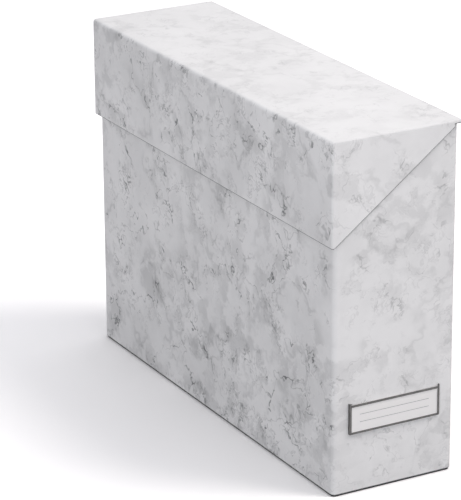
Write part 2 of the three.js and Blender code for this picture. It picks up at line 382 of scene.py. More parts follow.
def dark_board():
    """Dyed board, nearly black, with paler fibres pressed into it."""
    material, tree, shader = new_material("dark base board")
    place = add(tree, "ShaderNodeTexCoord").outputs["Object"]
    stretched = add(tree, "ShaderNodeMapping", vector=place, scale=(1.0, 0.3, 1.0)).outputs[0]
    fibres = noise(tree, stretched, 0.0012, 3.0, 0.7)
    flecks = ramp(tree, fibres, 0.6, 0.72)
    cloudy = noise(tree, place, 0.03, 3.0)
    ground = blend_colours(tree, cloudy, grey(0.01, -0.02), grey(0.018, -0.02))
    feed(tree, shader.inputs["Base Color"], blend_colours(tree, flecks, ground, grey(0.06)))
    shader.inputs["Roughness"].default_value = 0.85
    shader.inputs["Specular IOR Level"].default_value = 0.15
    bump(tree, shader, fibres, 0.3, 0.0003)
    return material


lining = lining_paper()
base_finish = dark_board()


# %% Hinge cloth
def threads(tree, position, pitch):
    """Round threads laid side by side: 1 on the top of a thread, 0 between two."""
    turns = math_node(tree, "MULTIPLY", position, 2 * math.pi / pitch)
    return math_node(tree, "MULTIPLY_ADD", math_node(tree, "SINE", turns), 0.5, 0.5)


def hinge_cloth():
    """Book cloth: fine threads along and across, unevenly filled with paste."""
    material, tree, shader = new_material("hinge cloth")
    place = add(tree, "ShaderNodeTexCoord").outputs["Object"]
    wavy = warped(tree, place, 0.006, 0.0003)
    parts = add(tree, "ShaderNodeSeparateXYZ", i0=wavy).outputs
    round_box = math_node(tree, "ADD", parts[0], parts[2])
    warp = threads(tree, parts[1], 0.00055)
    weft = threads(tree, round_box, 0.00062)
    weave = math_node(tree, "MAXIMUM", warp, weft)
    slubs = ramp(tree, noise(tree, place, 0.004, 3.0), 0.35, 0.65)
    amount = math_node(tree, "MULTIPLY_ADD", weave, 0.6, both(tree, slubs, 0.4))
    colour = blend_colours(tree, amount, grey(0.5, -0.01), grey(0.68, -0.01))
    feed(tree, shader.inputs["Base Color"], colour)
    shader.inputs["Roughness"].default_value = 0.75
    shader.inputs["Sheen Weight"].default_value = 0.1
    bump(tree, shader, weave, 0.5, 0.0001)
    return material


cloth = hinge_cloth()


# %% Steel finishes
def dark_nickel():
    """Dark nickel on pressed steel: nearly even, with faint drawing lines and dull patches."""
    material, tree, shader = new_material("dark nickel")
    place = add(tree, "ShaderNodeTexCoord").outputs["Object"]
    drawn = add(tree, "ShaderNodeMapping", vector=place, scale=(0.05, 1.0, 1.0)).outputs[0]
    lines = noise(tree, drawn, 0.0004, 2.0, 0.6)
    patches = noise(tree, place, 0.006, 3.0, 0.6)
    colour = blend_colours(tree, ramp(tree, patches, 0.3, 0.7), grey(0.082, 0.0), grey(0.128, 0.015))
    feed(tree, shader.inputs["Base Color"], colour)
    feed(tree, shader.inputs["Roughness"], ramp(tree, patches, 0.3, 0.7, 0.34, 0.46))
    shader.inputs["Metallic"].default_value = 1.0
    bump(tree, shader, lines, 0.08, 0.0001)
    return material


def zinc_steel():
    """Zinc-coated sheet: crystals of slightly different grey, and fine rolling lines."""
    material, tree, shader = new_material("zinc-coated steel")
    place = add(tree, "ShaderNodeTexCoord").outputs["Object"]
    uneven = warped(tree, place, 0.004, 0.003)
    crystals = add(tree, "ShaderNodeTexVoronoi", vector=uneven, scale=1 / 0.006).outputs["Color"]
    tone = add(tree, "ShaderNodeSeparateXYZ", i0=crystals).outputs[0]
    rolled = add(tree, "ShaderNodeMapping", vector=place, scale=(0.04, 1.0, 1.0)).outputs[0]
    lines = noise(tree, rolled, 0.0005, 2.0)
    feed(tree, shader.inputs["Base Color"], blend_colours(tree, tone, grey(0.5, -0.015), grey(0.66, -0.005)))
    feed(tree, shader.inputs["Roughness"], ramp(tree, tone, 0.0, 1.0, 0.33, 0.5, smooth=False))
    shader.inputs["Metallic"].default_value = 1.0
    bump(tree, shader, lines, 0.1, 0.0001)
    return material


nickel = dark_nickel()
zinc = zinc_steel()
print("Finishes:", [m.name for m in (lining, base_finish, cloth, nickel, zinc)])

# %% [markdown]
# ## Sizes and places
#
# Every place comes from the boxes of the CAD nodes. Only what a box can't tell is written here: how thick
# the boards and sheets are, and how round their edges. The tray stands a little to the right of the origin,
# because the lid reaches further out at the front than at the hinge.

# %% Sizes and places
BOARD = 0.0024
PAPER = 0.00015  # a sheet of lining paper with its paste
TRAY_FOLD = 0.0035
TRAY_EDGE = 0.0012

tray_low, tray_high = (Vector(corner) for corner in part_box("tray"))
lid_low, lid_high = (Vector(corner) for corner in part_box("lid"))
tray_middle = (tray_low + tray_high) / 2
tray_size = tray_high - tray_low
lid_underside = lid_high.z - BOARD
floor_top = tray_low.z + BOARD
print("Tray, mm:", [round(1000 * side, 1) for side in tray_size])

# %% [markdown]
# ## From an outline to a finished mesh
#
# Board, paper and folded steel all start as an outline with rounded corners. The pieces then share their
# last steps: the modifiers are worked into a plain mesh, doubles are merged, faces are turned outwards, and
# shading is smooth except across sharp edges. Large flat faces keep their own normals, so they stay evenly
# lit up to the rounded edge.


# %% Helpers for shapes
SHARP = 40  # degrees between two faces, from which the edge is sharp


def rounded_loop(corners, steps=6):
    """A closed outline through corners given as (x, y, radius), with each corner rounded by its radius."""
    points = []
    for i, (x, y, radius) in enumerate(corners):
        corner = Vector((x, y))
        if radius == 0:
            points.append(corner)
            continue
        before = (Vector(corners[i - 1][:2]) - corner).normalized()
        after = (Vector(corners[(i + 1) % len(corners)][:2]) - corner).normalized()
        half = before.angle(after) / 2
        centre = corner + (before + after).normalized() * (radius / math.sin(half))
        first = corner + before * (radius / math.tan(half)) - centre
        last = corner + after * (radius / math.tan(half)) - centre
        start = math.atan2(first.y, first.x)
        turn = (math.atan2(last.y, last.x) - start + math.pi) % (2 * math.pi) - math.pi
        for step in range(steps + 1):
            angle = start + turn * step / steps
            points.append(centre + radius * Vector((math.cos(angle), math.sin(angle))))
    return points


def new_piece(name, mesh):
    """An object at the origin with this mesh."""
    piece = bpy.data.objects.new(name, mesh)
    bpy.context.scene.collection.objects.link(piece)
    return piece


def from_bmesh(name, bm):
    """An object with the shape that was drawn in bmesh."""
    mesh = bpy.data.meshes.new(name)
    bm.to_mesh(mesh)
    bm.free()
    return new_piece(name, mesh)


def drawn_section(name, corners):
    """A closed outline as a mesh of edges, for a node tree to turn into a curve."""
    points = rounded_loop(corners)
    edges = [(i, (i + 1) % len(points)) for i in range(len(points))]
    mesh = bpy.data.meshes.new(name)
    mesh.from_pydata([(point.x, point.y, 0) for point in points], edges, [])
    return new_piece(name, mesh)


def modify(piece, kind, **settings):
    """Adds a modifier of this kind to a piece."""
    modifier = piece.modifiers.new(kind.lower(), kind)
    for name, value in settings.items():
        setattr(modifier, name, value)


def work_in(piece):
    """Replaces a piece's mesh by what its modifiers make of it, and removes them."""
    graph = bpy.context.evaluated_depsgraph_get()
    mesh = bpy.data.meshes.new_from_object(piece.evaluated_get(graph))
    piece.modifiers.clear()
    piece.data = mesh
    mesh.name = piece.name


def finished(piece):
    """The last steps of every piece: one clean, closed mesh with smooth and sharp edges in their places."""
    work_in(piece)
    bm = bmesh.new()
    bm.from_mesh(piece.data)
    bmesh.ops.remove_doubles(bm, verts=bm.verts, dist=1e-6)
    bmesh.ops.recalc_face_normals(bm, faces=bm.faces)
    bm.to_mesh(piece.data)
    bm.free()
    piece.data.shade_smooth()
    piece.data.set_sharp_from_angle(angle=math.radians(SHARP))
    modify(piece, "WEIGHTED_NORMAL", keep_sharp=True, weight=100)
    work_in(piece)
    return piece


def dress(piece, material, body, slot, *stands_for):
    """Gives a piece its finish, the body that carries it, and the CAD nodes that it stands for."""
    if material.name not in piece.data.materials:
        piece.data.materials.clear()
        piece.data.materials.append(material)
    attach(piece, body)
    if stands_for:
        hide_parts(*stands_for)
    triangles = sum(len(polygon.vertices) - 2 for polygon in piece.data.polygons)
    print(f"{piece.name}: {triangles} triangles, on the {body}")


# %% [markdown]
# ## The tray
#
# On the real box one board is scored, folded up into four walls and covered with printed paper, which is
# turned over the rim and under the foot. So a wall looks the same everywhere: it is one section, carried
# round the plan. That is a rule, and Geometry Nodes follow it: a rectangle with rounded corners is the
# path, and the section is swept along it. Scaling a cube wouldn't give the soft rim, and a bevelled box
# wouldn't keep the rim's radius apart from the radius of the folds. The lining is one more section on the
# same path.


# %% A tree that carries a section round a box
def new_geometry_tree(name, inputs):
    """A geometry tree with named inputs, given as name and socket type."""
    tree = bpy.data.node_groups.new(name, "GeometryNodeTree")
    for label, kind in inputs.items():
        tree.interface.new_socket(label, in_out="INPUT", socket_type="NodeSocket" + kind)
    tree.interface.new_socket("Result", in_out="OUTPUT", socket_type="NodeSocketGeometry")
    return tree, tree.nodes.new("NodeGroupInput").outputs


def end_tree(tree, geometry, finish):
    """Every tree ends the same way: instances made real, and the finish set."""
    real = add(tree, "GeometryNodeRealizeInstances", i0=geometry).outputs[0]
    painted = add(tree, "GeometryNodeSetMaterial", geometry=real, material=finish).outputs[0]
    tree.links.new(painted, tree.nodes.new("NodeGroupOutput").inputs[0])


def swept(tree, path, section):
    """Carries a section along a path. The section's x points to the right of the way, and its y points up."""
    level = add(tree, "GeometryNodeSetCurveNormal", {"mode": "Z_UP"}, curve=path).outputs[0]
    drawn = add(tree, "GeometryNodeObjectInfo", object=section).outputs["Geometry"]
    upright = add(tree, "GeometryNodeTransform", geometry=drawn, rotation=(math.pi, 0, 0)).outputs[0]
    profile = add(tree, "GeometryNodeMeshToCurve", i0=upright).outputs[0]
    made = add(tree, "GeometryNodeCurveToMesh", curve=level, profile_curve=profile)
    made.inputs["Fill Caps"].default_value = True
    return made.outputs[0]


def box_wall_tree():
    """A wall's section carried round a rectangle with rounded corners."""
    sizes = {"Width": "Float", "Length": "Float", "Fold Radius": "Float", "Middle": "Vector"}
    tree, given = new_geometry_tree("box wall", sizes | {"Section": "Object", "Finish": "Material"})
    plan = add(tree, "GeometryNodeCurvePrimitiveQuadrilateral", width=given["Width"], height=given["Length"])
    fold = {"curve": plan.outputs[0], "radius": given["Fold Radius"], "count": 8}
    folded = add(tree, "GeometryNodeFilletCurve", {"mode": "POLY"}, **fold)
    wall = swept(tree, folded.outputs[0], given["Section"])
    placed = add(tree, "GeometryNodeTransform", geometry=wall, translation=given["Middle"]).outputs[0]
    end_tree(tree, placed, given["Finish"])
    return tree


def grown(name, tree, values, base=None):
    """Runs a tree on a mesh and returns the result as a plain piece. Its drawings are thrown away."""
    piece = new_piece(name, base or bpy.data.meshes.new(name))
    modifier = piece.modifiers.new("tree", "NODES")
    modifier.node_group = tree
    for item in tree.interface.items_tree:
        if item.in_out == "INPUT" and item.name in values:
            modifier[item.identifier] = values[item.name]
    finished(piece)
    for value in values.values():
        if isinstance(value, bpy.types.Object):
            bpy.data.objects.remove(value)
    return piece


# %% Tray walls and their lining
WALL = BOARD - PAPER
LINING_SETBACK = 0.004  # from the rim, where the printed paper still shows inside
RIM_INSIDE = 0.0006

box_wall = box_wall_tree()
plan = {"Width": tray_size.x, "Length": tray_size.y, "Fold Radius": TRAY_FOLD}
plan["Middle"] = (tray_middle.x, tray_middle.y, 0.0)

wall_section = [
    (-WALL, tray_low.z, 0),
    (0, tray_low.z, TRAY_EDGE),
    (0, tray_high.z, TRAY_EDGE),
    (-WALL, tray_high.z, RIM_INSIDE),
]
section = drawn_section("wall section", wall_section)
tray_walls = grown("tray_walls", box_wall, plan | {"Section": section, "Finish": tray_paper})
dress(tray_walls, tray_paper, "box", "marble_paper", "tray")

lining_top = tray_high.z - LINING_SETBACK
lining_section = [
    (-WALL, floor_top, 0),
    (-WALL, lining_top, 0),
    (-BOARD, lining_top, 0),
    (-BOARD, floor_top, 0),
]
section = drawn_section("lining section", lining_section)
tray_lining = grown("tray_lining", box_wall, plan | {"Section": section, "Finish": lining})
dress(tray_lining, lining, "box", "marble_paper")


# %% Tray floor
def slab(name, outline, low, high, edge):
    """A flat board with this outline, from one level to another, with its edges rounded."""
    bm = bmesh.new()
    face = bm.faces.new([bm.verts.new((point.x, point.y, low)) for point in outline])
    raised = bmesh.ops.extrude_face_region(bm, geom=[face])["geom"]
    moved = [item for item in raised if isinstance(item, bmesh.types.BMVert)]
    bmesh.ops.translate(bm, verts=moved, vec=(0, 0, high - low))
    piece = from_bmesh(name, bm)
    modify(piece, "BEVEL", width=edge, segments=2, limit_method="ANGLE", angle_limit=math.radians(50))
    return finished(piece)


def plan_outline(low, high, margin, radius):
    """A rectangle this far inside a box, with rounded corners."""
    left, right = low.x + margin, high.x - margin
    near, far = low.y + margin, high.y - margin
    corners = [(left, near), (right, near), (right, far), (left, far)]
    return rounded_loop([(x, y, radius) for x, y in corners])


FLOOR_JOINT = 0.0003
FLOOR_EDGE = 0.0004
floor_outline = plan_outline(tray_low, tray_high, BOARD + FLOOR_JOINT, TRAY_FOLD - BOARD)
tray_floor = slab("tray_floor", floor_outline, tray_low.z, floor_top, FLOOR_EDGE)
dress(tray_floor, lining, "box", "marble_paper")

# %% [markdown]
# The printed paper goes once round the tray and ends on the back, near the far corner, where its last strip
# lies over its first. The print doesn't meet there, and the edge stands up by the thickness of the paper.
# It is a thin sheet of its own, so the step catches the light.

# %% Paper lap
LAP_WIDTH = 0.014
LAP_SETBACK = 0.0015
bm = bmesh.new()
lap_far = tray_high.y - TRAY_FOLD
lap_levels = (tray_low.z + LAP_SETBACK, tray_high.z - LAP_SETBACK)
lap_corners = [(y, z) for z in lap_levels for y in (lap_far - LAP_WIDTH, lap_far)]
lower_near, lower_far, upper_near, upper_far = [bm.verts.new((tray_high.x, y, z)) for y, z in lap_corners]
bm.faces.new([lower_near, lower_far, upper_far, upper_near])
paper_lap = from_bmesh("paper_lap", bm)
modify(paper_lap, "SOLIDIFY", thickness=PAPER, offset=1.0)
finished(paper_lap)
dress(paper_lap, lid_paper, "box", "marble_paper")

# %% [markdown]
# ## The lid
#
# The lid is one folded board too: a top, a deep front panel and two wedge-shaped end panels, all wrapped in
# paper. Its back edge stands out past the hinge. The shape is drawn straight from its corners, because
# every face of it is flat. A Bevel modifier then rounds the edges by weight: the scored folds are rounder
# than the cut edges, where the paper is turned in, and the long front fold is the roundest.

# %% Lid panels
LID_BEVEL = 0.003
FRONT_FOLD, END_FOLD, UPRIGHT_FOLD, CUT_EDGE = 1.0, 0.42, 0.6, 0.33
TAIL_SETBACK = 0.0044
TAIL_HEIGHT = 0.0022

lid_inside = lid_low.x + BOARD
lid_tail = tray_high.x - TAIL_SETBACK
tail_foot = lid_underside - TAIL_HEIGHT


def lid_solid():
    """The closed shell of the lid. Each pair of rows holds the same points at both ends of the box."""
    bm = bmesh.new()
    outer = (lid_low.y, lid_high.y)
    inner = (lid_low.y + BOARD, lid_high.y - BOARD)

    def row(x, z, ends):
        """One corner of the section, at both ends of the lid."""
        return [bm.verts.new((x, y, z)) for y in ends]

    top_front = row(lid_low.x, lid_high.z, outer)
    top_back = row(lid_high.x, lid_high.z, outer)
    under_back = row(lid_high.x, lid_underside, outer)
    foot_out = row(lid_low.x, lid_low.z, outer)
    foot_in = row(lid_inside, lid_low.z, outer)
    tail_low = row(lid_tail, tail_foot, outer)
    tail_high = row(lid_tail, lid_underside, outer)
    hollow_foot = row(lid_inside, lid_low.z, inner)
    hollow_top = row(lid_inside, lid_underside, inner)
    hollow_low = row(lid_tail, tail_foot, inner)
    hollow_high = row(lid_tail, lid_underside, inner)

    for low_row, high_row in ((top_front, top_back), (top_back, under_back), (foot_out, top_front)):
        bm.faces.new([low_row[0], low_row[1], high_row[1], high_row[0]])
    bm.faces.new([hollow_foot[0], hollow_top[0], hollow_top[1], hollow_foot[1]])
    bm.faces.new([foot_out[0], foot_in[0], hollow_foot[0], hollow_foot[1], foot_in[1], foot_out[1]])
    under = [hollow_top[0], hollow_high[0], tail_high[0], under_back[0]]
    bm.faces.new(under + [under_back[1], tail_high[1], hollow_high[1], hollow_top[1]])
    for end in (0, 1):
        rim = (foot_out, foot_in, tail_low, tail_high, under_back, top_back, top_front)
        bm.faces.new([points[end] for points in rim])
        bm.faces.new([points[end] for points in (hollow_foot, hollow_low, hollow_high, hollow_top)])
        bm.faces.new([points[end] for points in (foot_in, tail_low, hollow_low, hollow_foot)])
        bm.faces.new([points[end] for points in (tail_low, tail_high, hollow_high, hollow_low)])
    bmesh.ops.recalc_face_normals(bm, faces=bm.faces)
    return bm


def weigh_edges(bm):
    """Rounds the outer edges: the long front fold most, the other folds less, and the cut edges least."""
    weight = bm.edges.layers.float.new("bevel_weight_edge")
    for edge in bm.edges:
        if not edge.is_convex:
            continue
        middle = (edge.verts[0].co + edge.verts[1].co) / 2
        on_top = middle.z > lid_high.z - 1e-5
        on_front = middle.x < lid_low.x + 1e-5
        above_foot = middle.z > lid_low.z + BOARD
        if on_top and on_front:
            edge[weight] = FRONT_FOLD
        elif on_top and middle.x < lid_high.x - 1e-5:
            edge[weight] = END_FOLD
        elif on_front and above_foot:
            edge[weight] = UPRIGHT_FOLD
        else:
            edge[weight] = CUT_EDGE


bm = lid_solid()
weigh_edges(bm)
lid_panels = from_bmesh("lid_panels", bm)
modify(lid_panels, "BEVEL", width=LID_BEVEL, segments=6, limit_method="WEIGHT", use_clamp_overlap=False)
finished(lid_panels)
dress(lid_panels, lid_paper, "lid", "marble_paper", "lid")

# %% [markdown]
# The inside of the lid is lined as the tray is. The lining is one sheet, drawn as four panels that share
# their edges, and a Solidify modifier gives it the thickness of paper. It stops short of every cut edge,
# where the printed paper is turned in.

# %% Lid lining
LINING_TURN_IN = 0.005  # from the cut edge of the front and end panels
PASTED_IN = 0.00003  # how far the sheet sinks into the board

lining_foot = lid_low.z + LINING_TURN_IN
lining_back = lid_tail - LINING_SETBACK
slope = (tail_foot - lid_low.z) / (lid_tail - lid_inside)
lining_slope_end = lining_foot + slope * (lining_back - lid_inside)
pasted = PAPER / 2  # the sheet's middle, off the board
bm = bmesh.new()
ends = (lid_low.y + BOARD + pasted, lid_high.y - BOARD - pasted)
foot, front, back, slope_end = (
    [bm.verts.new((x, y, z)) for y in ends]
    for x, z in (
        (lid_inside + pasted, lining_foot),
        (lid_inside + pasted, lid_underside - pasted),
        (lining_back, lid_underside - pasted),
        (lining_back, lining_slope_end),
    )
)
bm.faces.new([foot[0], foot[1], front[1], front[0]])
bm.faces.new([front[0], front[1], back[1], back[0]])
bm.faces.new([foot[1], slope_end[1], back[1], front[1]])
bm.faces.new([foot[0], front[0], back[0], slope_end[0]])
lid_lining = from_bmesh("lid_lining", bm)
modify(lid_lining, "SOLIDIFY", thickness=PAPER + PASTED_IN, offset=0.0, use_even_offset=True)
finished(lid_lining)
dress(lid_lining, lining, "lid", "marble_paper")

# %% [markdown]
# ## The hinge
#
# There is no metal hinge. One strip of book cloth is glued down the back wall and in under the lid, and it
# folds along the rim. It is one sheet, drawn with a rounded crease between its two leaves. The sheet is a grid
# with enough rows round the crease, and its free corners are clipped so that they don't lift.

# %% Hinge strip
STRIP = 0.0004
STRIP_CLIP = 0.005
STRIP_STEP = 0.001  # from row to row along the clipped corners
STRIP_SPAN = 0.012  # from a free edge to the row in the middle of its leaf
CREASE_RADIUS = 0.0005

wall_leaf_low, wall_leaf_high = (Vector(corner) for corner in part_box("hinge_strip_wall_leaf"))
lid_leaf_low, lid_leaf_high = (Vector(corner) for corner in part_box("hinge_strip_lid_leaf"))
strip_x = (wall_leaf_low.x + wall_leaf_high.x) / 2
strip_z = (lid_leaf_low.z + lid_leaf_high.z) / 2


def strip_line():
    """The strip's middle line as (x, z), from the free edge on the wall to the one under the lid."""
    line = [(strip_x, wall_leaf_low.z + step * STRIP_STEP) for step in range(6)]
    line += [(strip_x, wall_leaf_low.z + STRIP_SPAN), (strip_x, wall_leaf_high.z - STRIP_STEP)]
    centre = Vector((strip_x - CREASE_RADIUS, strip_z - CREASE_RADIUS))
    for step in range(9):
        angle = math.pi / 2 * step / 8
        line.append(tuple(centre + CREASE_RADIUS * Vector((math.cos(angle), math.sin(angle)))))
    line += [(lid_leaf_high.x - STRIP_STEP, strip_z), (lid_leaf_low.x + STRIP_SPAN, strip_z)]
    return line + [(lid_leaf_low.x + step * STRIP_STEP, strip_z) for step in range(5, -1, -1)]


def strip_grid(columns=60):
    """The strip as a sheet without thickness, with its free corners clipped."""
    line = strip_line()
    half = (wall_leaf_high.y - wall_leaf_low.y) / 2
    bm = bmesh.new()
    rows = []
    for x, z in line:
        from_edge = z - wall_leaf_low.z if x > strip_x - 1e-6 else x - lid_leaf_low.x
        reach = half - max(0.0, STRIP_CLIP - from_edge)
        shares = [2 * i / columns - 1 for i in range(columns + 1)]
        rows.append([bm.verts.new((x, tray_middle.y + reach * share, z)) for share in shares])
    for lower, upper in zip(rows, rows[1:]):
        for i in range(columns):
            bm.faces.new([lower[i], lower[i + 1], upper[i + 1], upper[i]])
    return bm


hinge_strip = from_bmesh("hinge_strip", strip_grid())
modify(hinge_strip, "SOLIDIFY", thickness=STRIP, offset=0.0, use_even_offset=True)
finished(hinge_strip)
hinge_strip.data.materials.append(cloth)
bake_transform(hinge_strip)
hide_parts("hinge_strip_wall_leaf", "hinge_strip_lid_leaf")

# %% [markdown]
# ## The label holder
#
# The label holder is pressed from thin steel: a flat frame with its sides and foot bent back to the box, an
# open top for the card, and four prongs that go through the board and are folded flat inside. A press bends
# a sheet, so the mesh is made the same way. First comes the sheet without thickness, then its bends, then
# the thickness of the steel, and last a fine rounding of the cut edges.

# %% Sheet metal
HOLDER_SHEET = 0.0005
HOLDER_BEND = 0.0007
HOLDER_RIM = 0.0017
HOLDER_EAR = 0.0011
CUT_ROUNDING = 0.00012

holder_low, holder_high = (Vector(corner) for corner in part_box("label_holder"))
holder_back = tray_low.y


def sheet_metal(name, bm, offset):
    """Bends a sheet along its folds, thickens it and rounds its cut edges. Offset 0 thickens both sides alike."""
    folds = [edge for edge in bm.edges if len(edge.link_faces) == 2 and edge.calc_face_angle() > 0.5]
    rounding = {"offset_type": "OFFSET", "segments": 5, "profile": 0.5, "affect": "EDGES"}
    bmesh.ops.bevel(bm, geom=folds, offset=HOLDER_BEND, **rounding)
    piece = from_bmesh(name, bm)
    modify(piece, "SOLIDIFY", thickness=HOLDER_SHEET, offset=offset, use_even_offset=True)
    modify(piece, "BEVEL", width=CUT_ROUNDING, segments=3, limit_method="ANGLE", angle_limit=math.radians(50))
    return finished(piece)


def holder_sheet():
    """The frame's face, cell by cell, with its sides and foot bent back to the box."""
    across = [holder_low.x, holder_low.x + HOLDER_RIM, holder_high.x - HOLDER_RIM, holder_high.x]
    bar_top = holder_high.z - HOLDER_EAR
    up = [holder_low.z, holder_low.z + HOLDER_RIM, bar_top - HOLDER_RIM, bar_top, holder_high.z]
    bm = bmesh.new()
    face_y = holder_low.y
    grid = [[bm.verts.new((x, face_y, z)) for x in across] for z in up]
    cells = [(row, column) for row in range(4) for column in (0, 2)] + [(0, 1), (2, 1)]
    for row, column in cells:
        low, high = grid[row], grid[row + 1]
        bm.faces.new([low[column], low[column + 1], high[column + 1], high[column]])
    back = {}
    for line in grid:
        for vertex in line:
            if vertex in (line[0], line[3]) or line is grid[0]:
                back[vertex] = bm.verts.new((vertex.co.x, holder_back, vertex.co.z))
    for lower, upper in zip(grid, grid[1:]):
        bm.faces.new([lower[0], upper[0], back[upper[0]], back[lower[0]]])
        bm.faces.new([upper[3], lower[3], back[lower[3]], back[upper[3]]])
    for left, right in zip(grid[0], grid[0][1:]):
        bm.faces.new([right, left, back[left], back[right]])
    loose = [vertex for vertex in bm.verts if not vertex.link_faces]
    bmesh.ops.delete(bm, geom=loose, context="VERTS")
    return bm


# %% Prongs
PRONG_WIDTH = 0.003
PRONG_FOLD = 0.004
PRONG_SPREAD = 0.013


def prong_sheet(bm, side, level):
    """One prong: straight through the wall, then folded in towards the middle of the holder."""
    edge = holder_high.x if side > 0 else holder_low.x
    x = edge - side * HOLDER_SHEET / 2
    folded = tray_low.y + BOARD + HOLDER_SHEET / 2
    line = [(x, holder_back - HOLDER_BEND), (x, folded), (x - side * PRONG_FOLD, folded)]
    rows = [[bm.verts.new((px, py, level + dz * PRONG_WIDTH / 2)) for dz in (-1, 1)] for px, py in line]
    for first, second in zip(rows, rows[1:]):
        bm.faces.new([first[0], second[0], second[1], first[1]])


prong_middle = (holder_low.z + holder_high.z - HOLDER_EAR) / 2
bm = bmesh.new()
for side in (-1, 1):
    for step in (-1, 1):
        prong_sheet(bm, side, prong_middle + step * PRONG_SPREAD / 2)
prong_set = sheet_metal("holder_prongs", bm, offset=0.0)
dress(prong_set, nickel, "box", "nickel_steel")

holder_frame = sheet_metal("holder_frame", holder_sheet(), offset=-1.0)
dress(holder_frame, nickel, "box", "nickel_steel", "label_holder")

# %% [markdown]
# ## The card
#
# A white card stands in the holder. The printing is generic: two ruled lines to write on. The card is held
# only at its edges, so its middle comes forward by a fraction of a millimetre. That is a plain sum over a
# grid, and it is enough to catch the light like card.

# %% Card finish
card_low, card_high = (Vector(corner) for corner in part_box("label_card"))
RULE_SPACING = 0.0058
RULE_HALF = 0.00022
RULE_MARGIN = 0.008


def off(tree, value, middle):
    """How far a value lies from a middle, to either side."""
    return math_node(tree, "ABSOLUTE", math_node(tree, "SUBTRACT", value, middle))


def card_finish():
    """White card stock with two fine ruled lines."""
    material, tree, shader = new_material("ruled card")
    place = add(tree, "ShaderNodeTexCoord").outputs["Object"]
    x, y, z = add(tree, "ShaderNodeSeparateXYZ", i0=place).outputs
    middle = (card_low + card_high) / 2
    off_rule = off(tree, off(tree, z, middle.z), RULE_SPACING / 2)
    rule = ramp(tree, off_rule, RULE_HALF * 0.6, RULE_HALF, 1.0, 0.0)
    rule_reach = (card_high.x - card_low.x) / 2 - RULE_MARGIN
    inside = math_node(tree, "LESS_THAN", off(tree, x, middle.x), rule_reach)
    fibres = noise(tree, place, 0.0006, 3.0, 0.6)
    stock = blend_colours(tree, fibres, grey(0.87, 0.01), grey(0.93, 0.01))
    printed = blend_colours(tree, both(tree, rule, inside), stock, grey(0.3, -0.02))
    feed(tree, shader.inputs["Base Color"], printed)
    shader.inputs["Roughness"].default_value = 0.6
    bump(tree, shader, fibres, 0.1, 0.0001)
    return material


# %% Card
CARD_BOW = 0.00008
CARD_EDGE = 0.00005
card_thickness = card_high.y - card_low.y


def card_sheet(columns=24):
    """The card's middle sheet. It comes forward most half way between its two ends."""
    middle = (card_low + card_high) / 2
    half_width = (card_high.x - card_low.x) / 2
    bm = bmesh.new()
    rows = []
    for z in (card_low.z, card_high.z):
        line = []
        for i in range(columns + 1):
            share = 2 * i / columns - 1
            forward = CARD_BOW * (1 - share * share)
            line.append(bm.verts.new((middle.x + half_width * share, middle.y - forward, z)))
        rows.append(line)
    foot, head = rows
    for i in range(columns):
        bm.faces.new([foot[i], foot[i + 1], head[i + 1], head[i]])
    return bm


card = from_bmesh("card", card_sheet())
modify(card, "SOLIDIFY", thickness=card_thickness, offset=0.0)
modify(card, "BEVEL", width=CARD_EDGE, segments=2, limit_method="ANGLE", angle_limit=math.radians(50))
finished(card)
dress(card, card_finish(), "box", "white_card", "label_card")

# %% [markdown]
# ## Rails and rivets
#
# Hanging folders hook over two steel rails, one inside each end. A rail is a strip folded to a channel, so
# it is again a section on a path. The same sweep makes it, now on two straight lines. The far rail's line
# runs the other way, which turns its section round. The four rivets repeat, so they are turned once and set
# on four points by a tree that faces each of them outwards.

# %% Rails
RAIL_SHEET = 0.001
RAIL_BEND = 0.0008
RAIL_LIP = 0.009
CUT_END = 0.0003

rail_low, rail_high = (Vector(corner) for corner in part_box("folder_rail_label_end"))


def rail_corners():
    """The channel seen from its end: a tall leg on the wall, the web below, and a lip near the folders."""
    leg, lip = 0.0, rail_low.y - rail_high.y
    top, foot = rail_high.z, rail_low.z
    lip_top = foot + RAIL_LIP
    inside, outside = RAIL_BEND, RAIL_BEND + RAIL_SHEET
    return [
        (leg, top, CUT_END),
        (leg - RAIL_SHEET, top, CUT_END),
        (leg - RAIL_SHEET, foot + RAIL_SHEET, inside),
        (lip + RAIL_SHEET, foot + RAIL_SHEET, inside),
        (lip + RAIL_SHEET, lip_top, CUT_END),
        (lip, lip_top, CUT_END),
        (lip, foot, outside),
        (leg, foot, outside),
    ]


def straight_rail_tree():
    """The rail's section carried along straight lines."""
    inputs = {"Line": "Geometry", "Section": "Object", "Finish": "Material"}
    tree, given = new_geometry_tree("straight rail", inputs)
    path = add(tree, "GeometryNodeMeshToCurve", i0=given["Line"]).outputs[0]
    end_tree(tree, swept(tree, path, given["Section"]), given["Finish"])
    return tree


near_leg = rail_low.y
far_leg = 2 * tray_middle.y - near_leg
line_ends = [(rail_low.x, near_leg), (rail_high.x, near_leg), (rail_high.x, far_leg), (rail_low.x, far_leg)]
lines = bpy.data.meshes.new("rail lines")
lines.from_pydata([(x, y, 0) for x, y in line_ends], [(0, 1), (2, 3)], [])
section = drawn_section("rail section", rail_corners())
rails = grown("folder_rails", straight_rail_tree(), {"Section": section, "Finish": zinc}, lines)
dress(rails, zinc, "box", "zinc_steel", "folder_rail_label_end", "folder_rail_far_end")

# %% Rivets
RIVET_HEAD = 0.0034
RIVET_HEAD_THICKNESS = 0.0006
RIVET_CROWN = 0.0002  # the head is nearly flush, because the lid slides past it
RIVET_SHANK = 0.0016
RIVET_TAIL = 0.0026

rivet_names = sorted(name for name in nodes if name.startswith("rivet_"))
rivet_boxes = [[Vector(corner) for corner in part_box(name)] for name in rivet_names]
rivet_length = rivet_boxes[0][1].y - rivet_boxes[0][0].y


